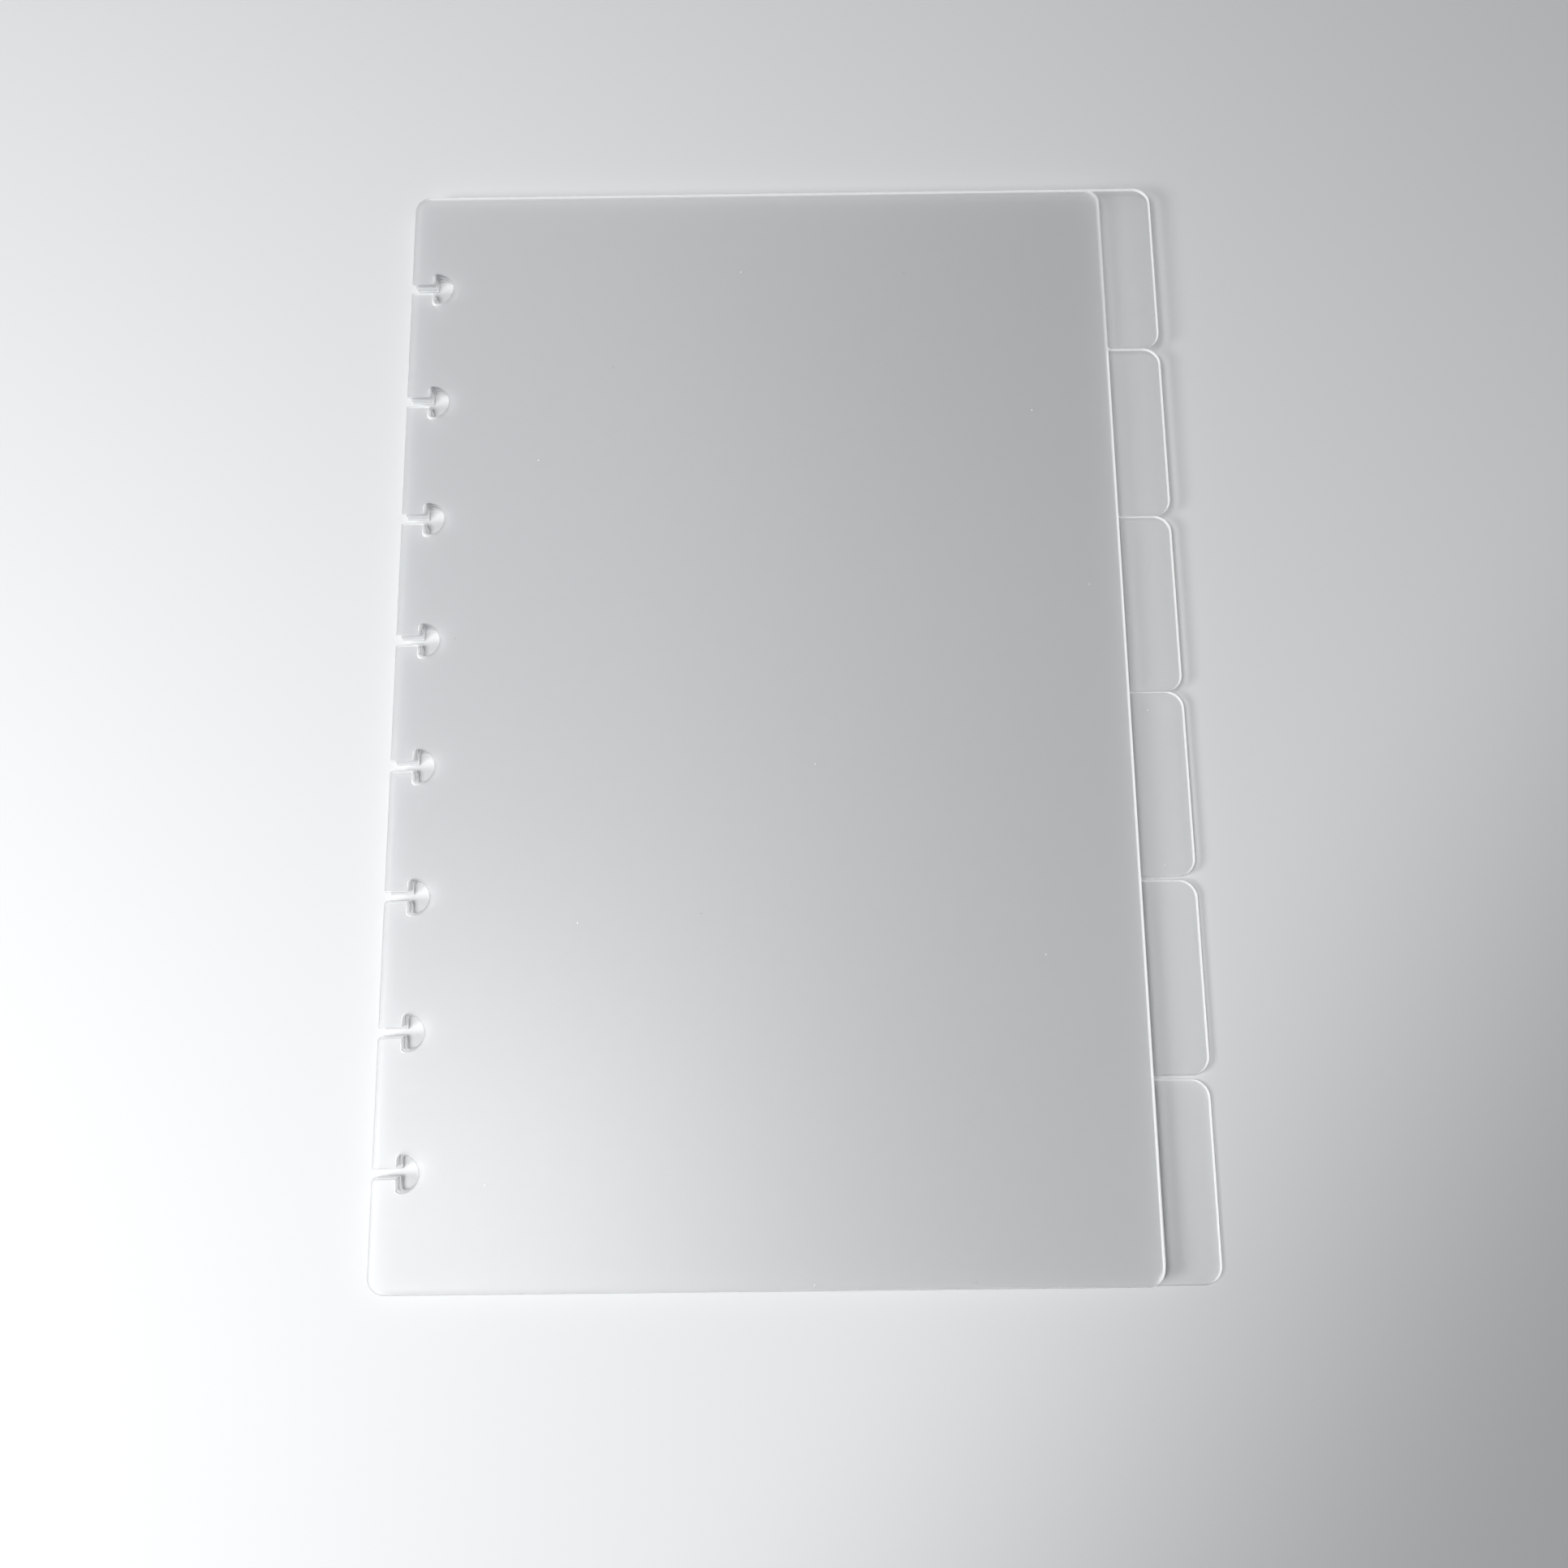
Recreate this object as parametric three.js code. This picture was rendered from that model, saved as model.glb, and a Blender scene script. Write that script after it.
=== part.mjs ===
// A loose set of tabbed planner dividers for a disc-bound planner, lying in a stack.
// Each divider is one sheet of clear plastic, cut in one stroke: mushroom slots along its
// left edge take the binding discs, and one index tab stands out from its right edge.
// Lengths are millimetres. +X runs from the slots to the tabs, +Y to the top of the page,
// and +Z up out of the stack, which rests on z = 0.
import * as THREE from "three";

// One sheet
const pageWidth = 143;
const pageHeight = 220;
const sheetThickness = 0.5;
const pageCornerRadius = 3.2;

// The index tabs, which share the page's height
const tabReach = 10.5;
const tabCornerRadius = 3.5;
const tabRootRadius = 0.6;

// The disc slots: a narrow neck opens into a head that is flat towards the page's edge
// and round towards its middle. As many as the page has room for stand at the pitch.
const slotPitch = 25.4;
const slotEndMargin = 15;
const neckLength = 4.4;
const neckWidth = 1.9;
const neckMouthRadius = 0.35;
const neckRootRadius = 0.25;
const headDepth = 4.1;
const headHeight = 6.8;
const headCornerRadius = 0.7;

// How the loose sheets lie: the air between two of them, and how far each has slipped
// out of line, from the top sheet down. There is one sheet for each line.
const sheetGap = 0.1;
const sheetSlips = [
  { alongX: 0, alongY: 0, turnDegrees: 0 },
  { alongX: 0.12, alongY: 0.38, turnDegrees: 0.02 },
  { alongX: 0.12, alongY: 0.6, turnDegrees: 0.07 },
  { alongX: 0.3, alongY: 0.85, turnDegrees: 0.15 },
  { alongX: 0.45, alongY: 0.4, turnDegrees: 0.12 },
  { alongX: 0.5, alongY: 0, turnDegrees: 0.02 },
];

// The clear plastic
const plasticColour = 0xc3cacb;
const plasticRoughness = 0.35;
const plasticOpacity = 0.55;

// How finely a rounded corner is drawn: an arc gets twice as many straight steps.
const arcHalfSteps = 3;

const dividerCount = sheetSlips.length;
const tabHeight = pageHeight / dividerCount;
const layerPitch = sheetThickness + sheetGap;
const slotCount = Math.floor((pageHeight - 2 * slotEndMargin) / slotPitch) + 1;

function corner(x, y, radius) {
  return { point: new THREE.Vector2(x, y), radius };
}

// Draws a closed outline through sharp corners and rounds each by its own radius. Where two
// roundings want more of a side than it has, they share it in proportion. Each arc joins
// itself to the last one.
function roundedOutline(corners) {
  const shape = new THREE.Shape();
  const neighbour = (index, step) => (index + step + corners.length) % corners.length;
  const side = (index, step) =>
    corners[neighbour(index, step)].point.clone().sub(corners[index].point);
  const halfAngles = corners.map((_, index) => {
    const cosine = side(index, -1).normalize().dot(side(index, 1).normalize());
    return Math.acos(cosine) / 2;
  });
  const wantedTrims = corners.map(
    ({ radius }, index) => radius / Math.tan(halfAngles[index]),
  );
  const share = (index, step) => {
    const wantedByBoth = wantedTrims[index] + wantedTrims[neighbour(index, step)];
    return (side(index, step).length() * wantedTrims[index]) / wantedByBoth;
  };
  corners.forEach(({ point }, index) => {
    const before = side(index, -1).normalize();
    const after = side(index, 1).normalize();
    const trim = Math.min(wantedTrims[index], share(index, -1), share(index, 1));
    const arcRadius = trim * Math.tan(halfAngles[index]);
    const start = point.clone().addScaledVector(before, trim);
    const end = point.clone().addScaledVector(after, trim);
    const centre = point
      .clone()
      .addScaledVector(before.clone().add(after).normalize(), arcRadius / Math.sin(halfAngles[index]));
    const clockwise = before.cross(after) > 0;
    shape.absarc(
      centre.x,
      centre.y,
      arcRadius,
      start.sub(centre).angle(),
      end.sub(centre).angle(),
      clockwise,
    );
  });
  shape.closePath();
  return shape;
}

// The corners of one disc slot, met on the way down the page's left edge.
function slotCorners(edgeX, middleY) {
  const flatX = edgeX + neckLength;
  const farX = flatX + headDepth;
  const neckHalf = neckWidth / 2;
  const headHalf = headHeight / 2;
  const above = [
    corner(edgeX, middleY + neckHalf, neckMouthRadius),
    corner(flatX, middleY + neckHalf, neckRootRadius),
    corner(flatX, middleY + headHalf, headCornerRadius),
    corner(farX, middleY + headHalf, headHalf),
  ];
  const below = above
    .map(({ point, radius }) => corner(point.x, 2 * middleY - point.y, radius))
    .reverse();
  return [...above, ...below];
}

// The outline of the divider whose tab is the given one from the top, anticlockwise from
// the page's bottom left corner. The end tabs run flush with the page's top and bottom.
function dividerOutline(tabIndex) {
  const left = -pageWidth / 2;
  const right = pageWidth / 2;
  const top = pageHeight / 2;
  const bottom = -top;
  const tabTop = top - tabIndex * tabHeight;
  const tabBottom = tabTop - tabHeight;
  const tabEdge = right + tabReach;
  const corners = [corner(left, bottom, pageCornerRadius)];
  if (tabIndex < dividerCount - 1) {
    corners.push(corner(right, bottom, pageCornerRadius));
    corners.push(corner(right, tabBottom, tabRootRadius));
  }
  corners.push(corner(tabEdge, tabBottom, tabCornerRadius));
  corners.push(corner(tabEdge, tabTop, tabCornerRadius));
  if (tabIndex > 0) {
    corners.push(corner(right, tabTop, tabRootRadius));
    corners.push(corner(right, top, pageCornerRadius));
  }
  corners.push(corner(left, top, pageCornerRadius));
  const firstSlotY = ((slotCount - 1) / 2) * slotPitch;
  for (let slot = 0; slot < slotCount; slot += 1) {
    corners.push(...slotCorners(left, firstSlotY - slot * slotPitch));
  }
  return roundedOutline(corners);
}

function clearPlastic() {
  return new THREE.MeshStandardMaterial({
    color: plasticColour,
    roughness: plasticRoughness,
    metalness: 0,
    transparent: true,
    opacity: plasticOpacity,
  });
}

// One divider in its place in the stack; the first lies on top.
function divider(tabIndex) {
  const geometry = new THREE.ExtrudeGeometry(dividerOutline(tabIndex), {
    depth: sheetThickness,
    bevelEnabled: false,
    curveSegments: arcHalfSteps,
  });
  const mesh = new THREE.Mesh(geometry, clearPlastic());
  const slip = sheetSlips[tabIndex];
  mesh.name = `divider_${tabIndex + 1}`;
  mesh.position.set(slip.alongX, slip.alongY, (dividerCount - 1 - tabIndex) * layerPitch);
  mesh.rotation.z = THREE.MathUtils.degToRad(slip.turnDegrees);
  return mesh;
}

// Moves the stack so that the middle of its footprint is over the origin.
function centreOverOrigin(group) {
  const middle = new THREE.Box3().setFromObject(group, true).getCenter(new THREE.Vector3());
  group.position.set(-middle.x, -middle.y, 0);
}

const dividers = new THREE.Group();
for (let tabIndex = 0; tabIndex < dividerCount; tabIndex += 1) {
  dividers.add(divider(tabIndex));
}
centreOverOrigin(dividers);

export default dividers;
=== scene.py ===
import math

import bmesh
import bpy
from mathutils import Euler, Matrix, Vector


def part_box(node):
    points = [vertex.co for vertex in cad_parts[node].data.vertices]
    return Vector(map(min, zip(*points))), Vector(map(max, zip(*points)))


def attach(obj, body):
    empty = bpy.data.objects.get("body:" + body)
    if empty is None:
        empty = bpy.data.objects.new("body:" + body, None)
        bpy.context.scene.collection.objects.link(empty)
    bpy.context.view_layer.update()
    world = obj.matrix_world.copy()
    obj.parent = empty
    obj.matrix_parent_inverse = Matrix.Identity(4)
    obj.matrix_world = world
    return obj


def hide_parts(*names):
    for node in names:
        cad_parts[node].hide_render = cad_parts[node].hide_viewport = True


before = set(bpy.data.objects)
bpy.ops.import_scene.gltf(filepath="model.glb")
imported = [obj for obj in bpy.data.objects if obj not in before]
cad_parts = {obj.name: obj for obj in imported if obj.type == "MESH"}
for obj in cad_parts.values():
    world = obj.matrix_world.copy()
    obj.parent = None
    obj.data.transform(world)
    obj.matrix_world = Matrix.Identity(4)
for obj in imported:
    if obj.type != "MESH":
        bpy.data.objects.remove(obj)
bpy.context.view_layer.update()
scene = bpy.context.scene
mm = 0.001


class Wire:  # an output socket whose sums and products add Math nodes
    def __init__(self, graph, socket):
        self.graph = graph
        self.socket = socket

    def math(self, operation, *others):
        inputs = dict(enumerate([self, *others]))
        return self.graph.node("ShaderNodeMath", {"operation": operation}, inputs)

    def reflected(self, operation, other):
        return self.graph.node("ShaderNodeMath", {"operation": operation}, {0: other, 1: self})

    def __add__(self, other):
        return self.math("ADD", other)

    __radd__ = __add__

    def __sub__(self, other):
        return self.math("SUBTRACT", other)

    def __rsub__(self, other):
        return self.reflected("SUBTRACT", other)

    def __mul__(self, other):
        return self.math("MULTIPLY", other)

    __rmul__ = __mul__

    def __truediv__(self, other):
        return self.math("DIVIDE", other)

    def __gt__(self, other):
        return self.math("GREATER_THAN", other)

    def __lt__(self, other):
        return self.math("LESS_THAN", other)

    def smoothStep(self, low, high):  # 0 below low, 1 above high
        settings = {"interpolation_type": "SMOOTHSTEP"}
        return self.graph.node("ShaderNodeMapRange", settings, {"Value": self, 1: low, 2: high})


class Graph:  # a node tree, shader or geometry
    def __init__(self, tree):
        self.tree = tree

    def node(self, kind, settings=None, inputs=None, out=0):
        made = self.tree.nodes.new(kind)
        for name, value in (settings or {}).items():
            setattr(made, name, value)
        for name, value in (inputs or {}).items():
            for each in value if isinstance(value, list) else [value]:
                if isinstance(each, Wire):
                    self.tree.links.new(each.socket, made.inputs[name])
                else:
                    made.inputs[name].default_value = each
        return Wire(self, made.outputs[out])

    def mixColour(self, factor, first, second):
        settings = {"data_type": "RGBA"}
        return self.node("ShaderNodeMix", settings, {0: factor, 6: first, 7: second}, out=2)

    def mixNumber(self, factor, first, second):
        return self.node("ShaderNodeMix", {}, {0: factor, 2: first, 3: second})

    def vector(self, operation, first, second):
        settings = {"operation": operation}
        return self.node("ShaderNodeVectorMath", settings, {0: first, 1: second})

    def dot(self, first, second):
        made = self.vector("DOT_PRODUCT", first, second)
        return Wire(self, made.socket.node.outputs["Value"])

    def scaled(self, direction, factor):
        settings = {"operation": "SCALE"}
        return self.node("ShaderNodeVectorMath", settings, {0: direction, "Scale": factor})


# What one divider measures, in millimetres, and how the sheets lie turned in the stack.
dividerShape = {
    "pageWidth": 143,
    "pageHeight": 220,
    "thickness": 0.5,
    "pageCorner": 3.2,
    "tabReach": 10.5,
    "tabCorner": 3.5,
    "tabRoot": 0.6,
    "slotPitch": 25.4,
    "slotCount": 8,
    "neckLength": 4.4,
    "neckWidth": 1.9,
    "neckMouth": 0.35,
    "neckRoot": 0.25,
    "headDepth": 4.1,
    "headHeight": 6.8,
    "headCorner": 0.7,
    "edgeRadius": 0.07,  # the blade leaves the upper edge a little round
    "rimWidth": 0.42,
    "cutSlant": 0.33,  # and cuts under it
    "edgeSteps": 3,
    "cornerSteps": 9,
    "lightComesFrom": (-0.94, -0.34, 0),  # the cut edges facing away from this are painted lit with a painted glow, those facing it painted in shade
    "turns": [0, 0.02, 0.07, 0.15, 0.12, 0.02],  # degrees, from the top sheet down
}


def dividerTree():
    tree = bpy.data.node_groups.new("dividerSheet", "GeometryNodeTree")
    sockets = [
        ("Page Corners", "NodeSocketGeometry"),
        ("Slot Corners", "NodeSocketObject"),
        ("Left Edge", "NodeSocketFloat"),
        ("Slot Pitch", "NodeSocketFloat"),
        ("Slot Count", "NodeSocketInt"),
        ("Thickness", "NodeSocketFloat"),
        ("Edge Radius", "NodeSocketFloat"),
        ("Rim Width", "NodeSocketFloat"),
        ("Cut Slant", "NodeSocketFloat"),
        ("Edge Steps", "NodeSocketInt"),
        ("Corner Steps", "NodeSocketInt"),
        ("Turn", "NodeSocketFloat"),
        ("Light Comes From", "NodeSocketVector"),
        ("Finish", "NodeSocketMaterial"),
    ]
    for name, kind in sockets:
        tree.interface.new_socket(name, in_out="INPUT", socket_type=kind)
    tree.interface.new_socket("Sheet", in_out="OUTPUT", socket_type="NodeSocketGeometry")
    footWidth = 0.1 * mm  # of the underside's border beside the cut
    cornerShare, cutShare = 0.95, 0.7  # the most of a corner's radius that a width may take
    nearSlant, moreSlant = 0.75, 0.25  # the cut leans more on the side facing away from the light, whose cut is painted lit
    slotsAfter = 100  # more than a page has corners
    mergeWithin = 0.002 * mm
    g = Graph(tree)
    given = tree.nodes.new("NodeGroupInput")
    wanted = {name: Wire(g, given.outputs[name]) for name, _ in sockets}

    # the sharp corners in order: the page and its tab, then the slots down the left edge
    pitch, count = wanted["Slot Pitch"], wanted["Slot Count"]
    xyz = "ShaderNodeCombineXYZ"
    firstSlot = g.node(xyz, {}, {"X": wanted["Left Edge"], "Y": (count - 1) * 0.5 * pitch})
    slotStep = g.node(xyz, {}, {"Y": 0 - pitch})
    slotPlaces = g.node(
        "GeometryNodeMeshLine",
        {"mode": "OFFSET"},
        {"Count": count, "Start Location": firstSlot, "Offset": slotStep},
    )
    oneSlot = g.node("GeometryNodeObjectInfo", {}, {"Object": wanted["Slot Corners"]}, "Geometry")
    slots = g.node("GeometryNodeInstanceOnPoints", {}, {"Points": slotPlaces, "Instance": oneSlot})
    slots = g.node("GeometryNodeRealizeInstances", {}, {"Geometry": slots})
    index = g.node("GeometryNodeInputIndex")
    store = "GeometryNodeStoreNamedAttribute"
    page = g.node(store, {}, {"Geometry": wanted["Page Corners"], "Name": "order", "Value": index})
    follows = {"Geometry": slots, "Name": "order", "Value": index + slotsAfter}
    slots = g.node(store, {}, follows)
    corners = g.node("GeometryNodeJoinGeometry", {}, {"Geometry": [page, slots]})
    points = g.node("GeometryNodeMeshToPoints", {}, {"Mesh": corners})
    order = g.node("GeometryNodeInputNamedAttribute", {}, {"Name": "order"})
    outline = g.node("GeometryNodePointsToCurves", {}, {"Points": points, "Weight": order})
    outline = g.node("GeometryNodeSetSplineCyclic", {}, {"Geometry": outline, "Cyclic": True})
    radius = g.node("GeometryNodeInputNamedAttribute", {}, {"Name": "cornerRadius"})
    outline = g.node(
        "GeometryNodeFilletCurve",
        {"mode": "POLY"},
        {"Curve": outline, "Count": wanted["Corner Steps"], "Radius": radius, "Limit Radius": True},
    )

    # the cut edge: rings of a grid follow the outline, over the rounded top and down the cut
    pointCount = g.node("GeometryNodeAttributeDomainSize", {"component": "CURVE"}, {0: outline})
    steps = wanted["Edge Steps"]
    gridSize = {"Size X": steps + 3, "Vertices X": steps + 4}
    gridSize |= {"Size Y": pointCount, "Vertices Y": pointCount + 1}
    grid = g.node("GeometryNodeMeshGrid", {}, gridSize)
    position = g.node("GeometryNodeInputPosition")
    split = "ShaderNodeSeparateXYZ"
    ring = g.node(split, {}, {0: position}, "X") + (steps + 3) * 0.5
    along = g.node(split, {}, {0: position}, "Y") + pointCount * 0.5
    number = along.math("ROUND").math("FLOORED_MODULO", pointCount)
    tangent = g.node("GeometryNodeInputTangent")
    inward = g.vector("CROSS_PRODUCT", (0, 0, 1), tangent)

    def alongOutline(value, kind):
        settings = {"data_type": kind, "domain": "POINT"}
        inputs = {"Geometry": outline, "Value": value, "Index": number}
        return g.node("GeometryNodeSampleIndex", settings, inputs)

    def atMost(width, share):  # narrower at the slots' small corners, which it would cross
        onCurve = width.math("MINIMUM", radius * share)
        return onCurve, width.math("MINIMUM", alongOutline(radius, "FLOAT") * share)

    rimOnCurve, rim = atMost(wanted["Rim Width"], cornerShare)
    footOnCurve, foot = atMost(wanted["Cut Slant"] + footWidth, cornerShare)
    farSide = g.dot(alongOutline(inward, "FLOAT_VECTOR"), wanted["Light Comes From"])
    cutFoot = atMost(wanted["Cut Slant"], cutShare)[1] * (nearSlant + farSide * moreSlant)
    thickness, edgeRadius = wanted["Thickness"], wanted["Edge Radius"]
    rise = ((ring - 1) / steps).math("MINIMUM", 1).math("MAXIMUM", 0) * (math.pi / 2)
    onRim = ring < 0.5
    onCut = ring > steps + 1.5
    onFoot = ring > steps + 2.5
    inset = g.mixNumber(onRim, edgeRadius * (1 - rise.math("SINE")), rim)
    inset = g.mixNumber(onCut, inset, cutFoot)
    inset = g.mixNumber(onFoot, inset, foot)
    level = (thickness - edgeRadius * (1 - rise.math("COSINE"))) * (1 - onCut)
    edgeAmount = (1 - onRim) * (1 - onFoot)
    sides = g.node(store, {}, {"Geometry": grid, "Name": "edge", "Value": edgeAmount})
    cutFaces = {"Geometry": sides, "Name": "cut", "Value": (ring > steps + 1) * (ring < steps + 2)}
    sides = g.node(store, {"domain": "FACE"}, cutFaces)
    underFaces = {"Geometry": sides, "Name": "under", "Value": ring > steps + 2}
    sides = g.node(store, {"domain": "FACE"}, underFaces)
    sides = g.node(store, {}, {"Geometry": sides, "Name": "farSide", "Value": farSide})
    onOutline = alongOutline(position, "FLOAT_VECTOR")
    stepIn = g.scaled(alongOutline(inward, "FLOAT_VECTOR"), inset)
    lift = g.node(xyz, {}, {"Z": level})
    place = g.vector("ADD", g.vector("ADD", onOutline, stepIn), lift)
    sides = g.node("GeometryNodeSetPosition", {}, {"Geometry": sides, "Position": place})

    # the two faces fill what the rings leave open
    def face(insetOnCurve):
        moved = {"Geometry": outline, "Offset": g.scaled(inward, insetOnCurve)}
        border = g.node("GeometryNodeSetPosition", {}, moved)
        return g.node("GeometryNodeFillCurve", {"mode": "TRIANGLES"}, {0: border})

    up = g.node(xyz, {}, {"Z": thickness})
    upper = g.node("GeometryNodeTransform", {}, {"Geometry": face(rimOnCurve), "Translation": up})
    lower = g.node("GeometryNodeFlipFaces", {}, {0: face(footOnCurve)})
    underFaces = {"Geometry": lower, "Name": "under", "Value": 1.0}
    lower = g.node(store, {"domain": "FACE"}, underFaces)
    sheet = g.node("GeometryNodeJoinGeometry", {}, {"Geometry": [sides, upper, lower]})
    sheet = g.node("GeometryNodeMergeByDistance", {}, {"Geometry": sheet, "Distance": mergeWithin})
    turn = g.node(xyz, {}, {"Z": wanted["Turn"]})
    sheet = g.node("GeometryNodeTransform", {}, {"Geometry": sheet, "Rotation": turn})
    sheet = g.node("GeometryNodeRealizeInstances", {}, {"Geometry": sheet})
    sheet = g.node("GeometryNodeSetMaterial", {}, {"Geometry": sheet, "Material": wanted["Finish"]})
    result = tree.nodes.new("NodeGroupOutput")
    tree.links.new(sheet.socket, result.inputs[0])
    return tree


def cornerObject(name, corners):
    # each corner is x, y and the radius that rounds it, in millimetres
    mesh = bpy.data.meshes.new(name)
    mesh.from_pydata([(x * mm, y * mm, 0) for x, y, _ in corners], [], [])
    radii = mesh.attributes.new("cornerRadius", "FLOAT", "POINT")
    radii.data.foreach_set("value", [radius * mm for _, _, radius in corners])
    made = bpy.data.objects.new(name, mesh)
    scene.collection.objects.link(made)
    return made


def slotCorners(shape):
    flat, far = shape["neckLength"], shape["neckLength"] + shape["headDepth"]
    neck, head = shape["neckWidth"] / 2, shape["headHeight"] / 2
    above = [
        (0, neck, shape["neckMouth"]),
        (flat, neck, shape["neckRoot"]),
        (flat, head, shape["headCorner"]),
        (far, head, head),
    ]
    return above + [(x, -y, radius) for x, y, radius in reversed(above)]


def pageCorners(shape, tab, tabCount):
    right, top = shape["pageWidth"] / 2, shape["pageHeight"] / 2
    tabEdge = right + shape["tabReach"]
    tabTop = top - tab * shape["pageHeight"] / tabCount
    tabBottom = top - (tab + 1) * shape["pageHeight"] / tabCount
    corners = [(-right, -top, shape["pageCorner"])]
    if tab < tabCount - 1:
        corners += [(right, -top, shape["pageCorner"]), (right, tabBottom, shape["tabRoot"])]
    corners += [(tabEdge, tabBottom, shape["tabCorner"]), (tabEdge, tabTop, shape["tabCorner"])]
    if tab > 0:
        corners += [(right, tabTop, shape["tabRoot"]), (right, top, shape["pageCorner"])]
    return corners + [(-right, top, shape["pageCorner"])]


def makeDividers(shape, finish):
    tree = dividerTree()
    slot = cornerObject("slotOutline", slotCorners(shape))
    nodes = sorted(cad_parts)
    for tab, node in enumerate(nodes):
        blank = cornerObject("blank", pageCorners(shape, tab, len(nodes)))
        modifier = blank.modifiers.new("sheet", "NODES")
        modifier.node_group = tree
        values = {
            "Slot Corners": slot,
            "Left Edge": -shape["pageWidth"] / 2 * mm,
            "Slot Pitch": shape["slotPitch"] * mm,
            "Slot Count": shape["slotCount"],
            "Thickness": shape["thickness"] * mm,
            "Edge Radius": shape["edgeRadius"] * mm,
            "Rim Width": shape["rimWidth"] * mm,
            "Cut Slant": shape["cutSlant"] * mm,
            "Edge Steps": shape["edgeSteps"],
            "Corner Steps": shape["cornerSteps"],
            "Turn": math.radians(shape["turns"][tab]),
            "Light Comes From": shape["lightComesFrom"],
            "Finish": finish,
        }
        for item in tree.interface.items_tree:
            if item.in_out == "INPUT" and item.name in values:
                modifier[item.identifier] = values[item.name]
        bpy.context.view_layer.update()
        evaluated = blank.evaluated_get(bpy.context.evaluated_depsgraph_get())
        mesh = bpy.data.meshes.new_from_object(evaluated)
        bpy.data.objects.remove(blank)
        sheet = bpy.data.objects.new("sheet_" + node.split("_")[1], mesh)
        scene.collection.objects.link(sheet)
        closeMesh(mesh)
        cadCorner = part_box(node)[0]  # the sheet goes where the model has it
        ownCorner = Vector(map(min, *(vertex.co for vertex in mesh.vertices)))
        mesh.transform(Matrix.Translation(cadCorner - ownCorner))
        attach(sheet, node)
        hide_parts(node)
    bpy.data.objects.remove(slot)


def closeMesh(mesh):
    work = bmesh.new()
    work.from_mesh(mesh)
    tinyEdge = 0.0005 * mm
    bmesh.ops.dissolve_degenerate(work, dist=tinyEdge, edges=work.edges)
    bmesh.ops.recalc_face_normals(work, faces=work.faces)
    openEdges = sum(1 for edge in work.edges if len(edge.link_faces) != 2)
    print("sheet:", len(work.faces), "faces,", openEdges, "open edges")
    work.to_mesh(mesh)
    work.free()
    mesh.shade_smooth()


# The frosted plastic. Colours are linear; sizes in millimetres are those of the pattern.
plasticLook = {
    # the plastic's colour towards the slots, and a greyer copy towards the tabs that is painted
    # shade
    "litSlotSideColour": (0.852, 0.866, 0.881, 1),
    "shadedTabSideColour": (0.782, 0.797, 0.808, 1),
    "sheetShadeStarts": -45,  # painted shade: across the page the plastic is painted greyer from here, for the lamps' light falling off
    "sheetShadeEnds": 85,  # to here, in clouds
    "cloudDepth": 36,
    # cut edges are painted lit, white, where they face away from the light, and painted in shade,
    # grey, where they face it
    "litCutAndGlintColour": (0.97, 0.98, 0.98, 1),
    "shadedCutColour": (0.55, 0.56, 0.57, 1),
    "faceAlpha": 0.36,  # of the upper face; the underside is clear
    "rimAlpha": 0.28,
    "cutAlpha": 0.92,
    "dullCutAlpha": 0.5,
    "paintedCutGlow": 0.3,  # painted glow on the cut edges facing away from the light; they are no lamp
    "dimSide": -0.35,  # how far a cut faces away from the light where its painted shade is deepest
    "brightSide": 0.6,  # and where its painted light is strongest
    "roughness": 0.37,
    "shine": 1.0,
    "ior": 1.49,
    "cloudSize": 60,
    "cloudStretch": (1, 1, 12),  # the six sheets are clouded each in its own way
    "grainSize": 0.35,
    "grainHeight": 0.003,
    "grainRoughness": 0.12,
    "layerShift": (70, 49),  # sideways for each unit up, so that no two faces wear alike
    # specks: the dark ones are dust, the pale ones are painted glints
    "speckSpacing": 52,
    "speckSize": 0.14,
    "dustColour": (0.3, 0.3, 0.29, 1),
    "speckAlpha": 0.7,
    "scratchLength": 26,
    "scratchWidth": 0.0012,
    "scratchTurn": 0.7,
    "scratchStretch": (1, 9, 1),
    "scratchedClouds": (0.35, 0.65),
    "scratchShine": 0.07,
}


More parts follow.
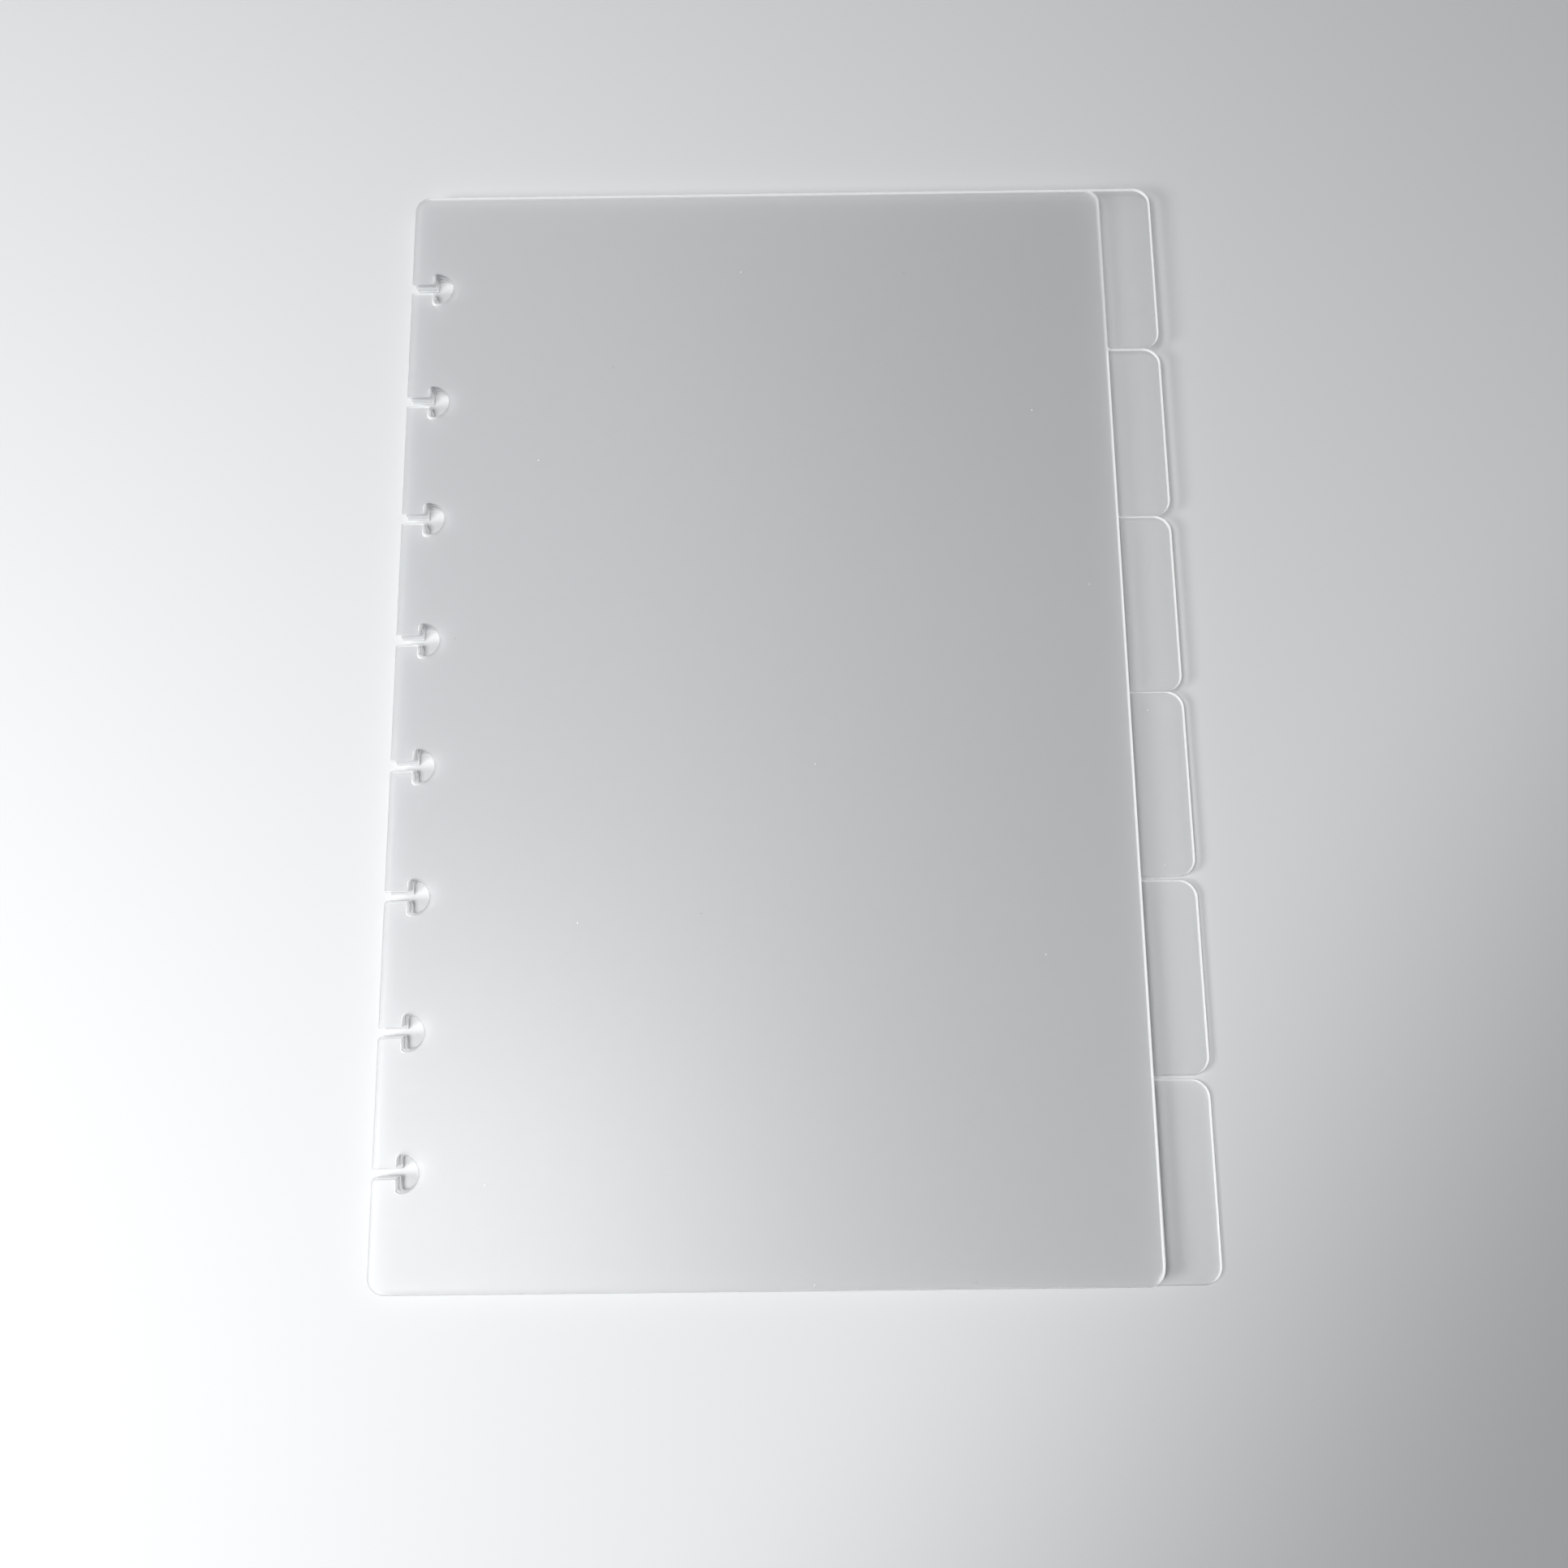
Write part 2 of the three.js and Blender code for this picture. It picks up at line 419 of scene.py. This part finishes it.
def frostedPlastic(look):
    material = bpy.data.materials.new("frostedPlastic")
    material.use_nodes = True
    g = Graph(material.node_tree)
    shader = material.node_tree.nodes["Principled BSDF"]
    shader.inputs["IOR"].default_value = look["ior"]
    shader.inputs["Emission Strength"].default_value = 1
    shader.inputs["Specular IOR Level"].default_value = look["shine"]
    split = "ShaderNodeSeparateXYZ"
    edge = g.node("ShaderNodeAttribute", {"attribute_name": "edge"}, out="Fac")
    place = g.node("ShaderNodeTexCoord", {}, out="Object")

    def noise(size, detail, stretch=(1, 1, 1)):
        spread = g.node("ShaderNodeMapping", {}, {"Vector": place, "Scale": stretch})
        inputs = {"Vector": spread, "Scale": 1 / (size * mm), "Detail": detail}
        return g.node("ShaderNodeTexNoise", {}, inputs)

    cut = g.node("ShaderNodeAttribute", {"attribute_name": "cut"}, out="Fac") > 0.5
    under = g.node("ShaderNodeAttribute", {"attribute_name": "under"}, out="Fac") > 0.5
    farSide = g.node("ShaderNodeAttribute", {"attribute_name": "farSide"}, out="Fac")
    # painted light and shade on the cut edges, by which way each faces the light
    paintedLitCut = cut * farSide.smoothStep(look["dimSide"], look["brightSide"])
    rim = edge.smoothStep(0.0, 1.0)
    clouds = noise(look["cloudSize"], 0.0, look["cloudStretch"])
    across = g.node(split, {}, {0: place}, "X")
    across = across + (clouds - 0.5) * (look["cloudDepth"] * mm)
    # painted shade: the plastic greys towards the tabs, where the lamps' light falls off
    paintedShade = across.smoothStep(look["sheetShadeStarts"] * mm, look["sheetShadeEnds"] * mm)
    grain = noise(look["grainSize"], 1.0)
    body = g.mixColour(paintedShade, look["litSlotSideColour"], look["shadedTabSideColour"])
    paintedCutLight = g.mixColour(paintedLitCut, look["shadedCutColour"], look["litCutAndGlintColour"])
    body = g.mixColour(rim * cut, body, paintedCutLight)
    layer = g.node(split, {}, {0: place}, "Z")
    shiftX, shiftY = (layer * each for each in look["layerShift"])
    shift = g.node("ShaderNodeCombineXYZ", {}, {"X": shiftX, "Y": shiftY})
    shifted = g.vector("ADD", place, shift)
    cells = {"Vector": shifted, "Scale": 1 / (look["speckSpacing"] * mm)}
    dustAndGlint = g.node("ShaderNodeTexVoronoi", {"voronoi_dimensions": "2D"}, cells)
    # half the specks are painted glints in the lit edge white, the rest dark dust
    speckTone = Wire(g, dustAndGlint.socket.node.outputs["Color"])
    pale = g.node(split, {}, {0: speckTone}, "X") > 0.5
    dustAndGlint = dustAndGlint < look["speckSize"] / look["speckSpacing"]
    turned = {"Vector": shifted, "Rotation": (0, 0, look["scratchTurn"])}
    turned["Scale"] = look["scratchStretch"]
    turned = g.node("ShaderNodeMapping", {}, turned)
    drawn = {"Vector": turned, "Scale": 1 / (look["scratchLength"] * mm), "Detail": 0}
    drawn = (g.node("ShaderNodeTexNoise", {}, drawn) - 0.5).math("ABSOLUTE")
    scratch = (drawn < look["scratchWidth"]) * clouds.smoothStep(*look["scratchedClouds"])
    body = g.mixColour(dustAndGlint, body, g.mixColour(pale, look["dustColour"], look["litCutAndGlintColour"]))
    height = {"Height": grain * (look["grainHeight"] * mm), "Distance": 1.0}
    bump = g.node("ShaderNodeBump", {}, height, "Normal")
    alpha = g.mixNumber(rim, look["faceAlpha"], look["rimAlpha"])
    alpha = g.mixNumber(cut, alpha, g.mixNumber(paintedLitCut, look["dullCutAlpha"], look["cutAlpha"]))
    alpha = alpha.math("MAXIMUM", dustAndGlint * look["speckAlpha"]) * (1 - under)
    roughness = look["roughness"] + (grain - 0.5) * look["grainRoughness"]
    roughness = roughness - scratch * look["scratchShine"]
    # a painted glow on the lit cut edges, which are no lamp
    glow = g.mixColour(paintedLitCut, (0, 0, 0, 1), (look["paintedCutGlow"],) * 3 + (1,))
    wires = {
        "Base Color": body,
        "Roughness": roughness,
        "Alpha": alpha,
        "Emission Color": glow,
        "Normal": bump,
    }
    for name, wire in wires.items():
        material.node_tree.links.new(wire.socket, shader.inputs[name])
    return material


backdropColour = (0.72, 0.73, 0.735, 1)


def seenRay(g):  # 1 for what is seen, directly or in a reflection, and 0 for what lights
    path = g.node("ShaderNodeLightPath").socket.node.outputs
    seen = Wire(g, path["Is Camera Ray"]) + Wire(g, path["Is Glossy Ray"])
    return (seen + Wire(g, path["Is Transmission Ray"])).math("MINIMUM", 1)


tableLook = {
    "colour": (0.82, 0.834, 0.84, 1),
    "shadeColour": (0.455, 0.465, 0.468, 1),  # its far corner lies in the room's shade
    "shadeTowards": (0.75, -0.66, 0),
    "shadeStarts": 80,
    "shadeEnds": 205,
    "roughness": 0.6,
    "size": 3000,
    "gap": 0.04,  # keeps it clear of the lowest sheet's underside
    "fadeStarts": 225,
    "fadeEnds": 330,
}


def makeTable(look):
    half = look["size"] / 2 * mm
    mesh = bpy.data.meshes.new("table")
    corners = [(-half, -half, 0), (half, -half, 0), (half, half, 0), (-half, half, 0)]
    mesh.from_pydata(corners, [], [(0, 1, 2, 3)])
    table = bpy.data.objects.new("table", mesh)
    table.location.z = -look["gap"] * mm
    scene.collection.objects.link(table)
    material = bpy.data.materials.new("paleTable")
    material.use_nodes = True
    shader = material.node_tree.nodes["Principled BSDF"]
    shader.inputs["Roughness"].default_value = look["roughness"]
    g = Graph(material.node_tree)
    place = g.node("ShaderNodeTexCoord", {}, out="Object")
    across = g.dot(place, look["shadeTowards"])
    shade = across.smoothStep(look["shadeStarts"] * mm, look["shadeEnds"] * mm)
    colour = g.mixColour(shade, look["colour"], look["shadeColour"])
    material.node_tree.links.new(colour.socket, shader.inputs["Base Color"])
    # far from the sheets the table turns into the pale backdrop
    distance = g.dot(place, place).math("SQRT")
    fade = distance.smoothStep(look["fadeStarts"] * mm, look["fadeEnds"] * mm) * seenRay(g)
    backdrop = g.node("ShaderNodeEmission", {}, {"Color": backdropColour})
    inputs = {0: fade, 1: Wire(g, shader.outputs[0]), 2: backdrop}
    surface = g.node("ShaderNodeMixShader", {}, inputs)
    result = material.node_tree.nodes["Material Output"]
    material.node_tree.links.new(surface.socket, result.inputs["Surface"])
    mesh.materials.append(material)


# Places are in millimetres from the top page's middle.
lightLook = {
    "lamps": [
        {"place": (-245, -155, 700), "aim": (-307, -110, 0), "size": 340, "power": 3.55},
        {"place": (-640, -260, 490), "aim": (0, 0, 0), "size": 300, "power": 3.6},
    ],
    "skyColour": (0.97, 0.985, 1.0),
    "skyStrength": 0.06,
}


def makeLight(look, middle):
    for wanted in look["lamps"]:
        lamp = bpy.data.lights.new("softWindow", "AREA")
        lamp.shape = "DISK"
        lamp.size = wanted["size"] * mm
        lamp.energy = wanted["power"]
        holder = bpy.data.objects.new("softWindow", lamp)
        place, aim = (middle + Vector(wanted[key]) * mm for key in ("place", "aim"))
        holder.location = place
        holder.rotation_euler = (aim - place).to_track_quat("-Z", "Y").to_euler()
        scene.collection.objects.link(holder)
    world = bpy.data.worlds.new("softRoom")
    world.use_nodes = True
    g = Graph(world.node_tree)
    skyLight = (*(channel * look["skyStrength"] for channel in look["skyColour"]), 1)
    sky = g.mixColour(seenRay(g), skyLight, backdropColour)
    world.node_tree.links.new(sky.socket, world.node_tree.nodes["Background"].inputs["Color"])
    scene.world = world


cameraLook = {
    "place": (5.25, -83.97, 296.95),  # millimetres from the top page's middle
    "turn": (12.843, 0.341, -0.631),  # degrees
    "lens": 36.056,
    "sensorWidth": 36,
    "seesFrom": 0.01,  # metres
}


def makeCamera(look, middle):
    camera = bpy.data.cameras.new("camera")
    camera.lens = look["lens"]
    camera.sensor_width = look["sensorWidth"]
    camera.clip_start = look["seesFrom"]
    holder = bpy.data.objects.new("camera", camera)
    holder.location = middle + Vector(look["place"]) * mm
    holder.rotation_euler = Euler([math.radians(a) for a in look["turn"]])
    scene.collection.objects.link(holder)
    scene.camera = holder


topLow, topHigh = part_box("divider_1")
pageMiddle = Vector((topLow.x + dividerShape["pageWidth"] / 2 * mm, (topLow.y + topHigh.y) / 2, 0))
makeCamera(cameraLook, pageMiddle)
print("camera placed")
makeDividers(dividerShape, frostedPlastic(plasticLook))
print("dividers made")
makeTable(tableLook)
makeLight(lightLook, pageMiddle)
scene.view_settings.view_transform = "Standard"
scene.cycles.transparent_max_bounces = 32  # a ray meets twelve faces on its way down
print("table and light made")
